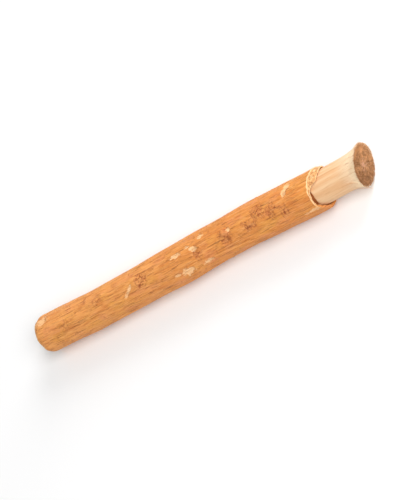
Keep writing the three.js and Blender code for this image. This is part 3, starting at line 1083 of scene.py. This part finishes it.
# %% [markdown]
# The tips that show on the face are short, because only their ends are seen, and there can be many of
# them. The long fibres lie on the outside of the flare, a few deep, and stray a little from each other
# where teeth have worked them loose. A few thin ones have sprung out of the brush.

# %% Grow the brush
def grow_fibres(name, sizes):
    """Runs the tree with these sizes, and keeps what it makes as a plain mesh."""
    maker = add_object(name + "_start", bpy.data.meshes.new(name + "_start"))
    modifier = maker.modifiers.new("fibres", "NODES")
    modifier.node_group = fibres_by_rule
    for item in fibres_by_rule.interface.items_tree:
        if item.in_out == "INPUT" and item.name in sizes:
            modifier[item.identifier] = sizes[item.name]
    evaluated = maker.evaluated_get(bpy.context.evaluated_depsgraph_get())
    mesh = bpy.data.meshes.new_from_object(evaluated)
    bpy.data.objects.remove(maker)
    mesh.name = name
    piece = add_object(name, mesh)
    bpy.context.view_layer.update()
    measure(piece)
    return piece


tips = grow_fibres("brush_tips", {
    "Fibres": 4200, "Spans": 1, "Length": 1.9, "Thickness": 0.105, "Outer share": 0.985,
    "Unevenness": 0.5, "Straying": 0.45, "Seed": 3, "Material": FIBRE_FINISH})
fringe = grow_fibres("brush_fringe", {
    "Fibres": 1500, "Spans": 10, "Length": 10.5, "Inner share": 0.93, "Root sunk by": 0.4,
    "Unevenness": 0.7, "Straying": 0.4, "Seed": 8, "Material": FIBRE_FINISH})
loose = grow_fibres("loose_fibres", {
    "Fibres": 26, "Spans": 14, "Length": 13.0, "Thickness": 0.055, "Inner share": 1.0, "Outer share": 1.03,
    "Root sunk by": 0.35, "Unevenness": 0.6, "Straying": 2.2, "Seed": 12, "Material": LOOSE_FINISH})

# %% [markdown]
# Each piece takes its place: it rides on the stick's one body, and the solid that it stands for is hidden.
# The brush's fibres stand for the wood together with the solid wood under them.

# %% Dress the solids
bark_sleeve.data.materials.append(BARK_FINISH)
bare_wood.data.materials.append(WOOD_FINISH)
stands_for = [(bark_sleeve, "bark"), *((piece, "wood") for piece in (bare_wood, tips, fringe, loose))]
for piece, solid in stands_for:
    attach(piece, "root")
    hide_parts(solid)
print(len(stands_for), "pieces stand for", len(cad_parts), "solids")

# %% [markdown]
# The camera stands where the photograph was taken from: the stick points 32 degrees out of the picture
# towards it, and rises to the right at 28 degrees. The stick lies down here, so the camera looks down
# at it. A long lens from two metres away keeps its sides as parallel as they are there.

# %% Place the camera
OUT_OF_PICTURE = 31.7
RISE_IN_PICTURE = 28
CAMERA_DISTANCE = 2.0
PICTURE_WIDTH = 0.141
PICTURE_SHAPE = 407 / 500
SENSOR = 36

facing = math.radians(FACING)
lean = math.radians(OUT_OF_PICTURE)
rise = math.radians(RISE_IN_PICTURE)
side = Vector((0, math.cos(facing), math.sin(facing)))
towards_camera = Vector((math.sin(lean), 0, 0)) + math.cos(lean) * side
along_stick = (Vector((1, 0, 0)) - math.sin(lean) * towards_camera).normalized()
across_stick = towards_camera.cross(along_stick)
picture_right = math.cos(rise) * along_stick - math.sin(rise) * across_stick
picture_up = math.sin(rise) * along_stick + math.cos(rise) * across_stick
stick_middle = (MEASURED_BOX[0] + MEASURED_BOX[1]) / 2

camera = add_object("camera", bpy.data.cameras.new("camera"))
bpy.context.scene.camera = camera
turned = Matrix((picture_right, picture_up, towards_camera)).transposed().to_4x4()
camera.matrix_world = Matrix.Translation(stick_middle + CAMERA_DISTANCE * towards_camera) @ turned
camera.data.sensor_width = SENSOR
camera.data.lens = SENSOR * CAMERA_DISTANCE * PICTURE_SHAPE / PICTURE_WIDTH
print("camera looks down at", round(math.degrees(math.asin(towards_camera.z)), 1), "degrees")

# %% [markdown]
# The stick lies on a plain pale floor under soft studio light. The main lamp is wide and stands on the
# camera's side, so the cut face and the bare wood are bright. A second one over the stick's upper side
# brightens that edge and lets the lower one fall into a soft brown shade, as in the photograph.

# %% Light the stick
FLOOR_REACH = 3.0
LAMP_DISTANCE = 1.0
SKY_STRENGTH = 0.4


def lay_floor():
    mesh = bpy.data.meshes.new("floor")
    corners = [(x * FLOOR_REACH, y * FLOOR_REACH, 0) for x, y in ((-1, -1), (1, -1), (1, 1), (-1, 1))]
    mesh.from_pydata(corners, [], [(0, 1, 2, 3)])
    paper = bpy.data.materials.new("pale_paper")
    paper.use_nodes = True
    shader = paper.node_tree.nodes["Principled BSDF"]
    shader.inputs["Base Color"].default_value = shown(246, 246, 246)
    shader.inputs["Roughness"].default_value = 0.9
    mesh.materials.append(paper)
    piece = add_object("floor", mesh)


def soft_light(name, towards, size, power):
    """A square lamp that stands in this direction from the stick and faces it."""
    lamp = add_object(name, bpy.data.lights.new(name, "AREA"))
    lamp.data.size = size
    lamp.data.energy = power
    lamp.location = stick_middle + towards.normalized() * LAMP_DISTANCE
    lamp.rotation_euler = towards.to_track_quat("Z", "Y").to_euler()


lay_floor()
soft_light("main_light", towards_camera + 0.15 * picture_up, size=0.8, power=9)
soft_light("top_light", picture_up + 0.35 * towards_camera, size=0.6, power=6)
world = bpy.data.worlds.new("studio")
world.use_nodes = True
sky = world.node_tree.nodes["Background"]
sky.inputs["Color"].default_value = (1, 1, 1, 1)
sky.inputs["Strength"].default_value = SKY_STRENGTH
bpy.context.scene.world = world
bpy.context.scene.view_settings.view_transform = "Standard"
print("two soft lamps and a pale sky of strength", SKY_STRENGTH)
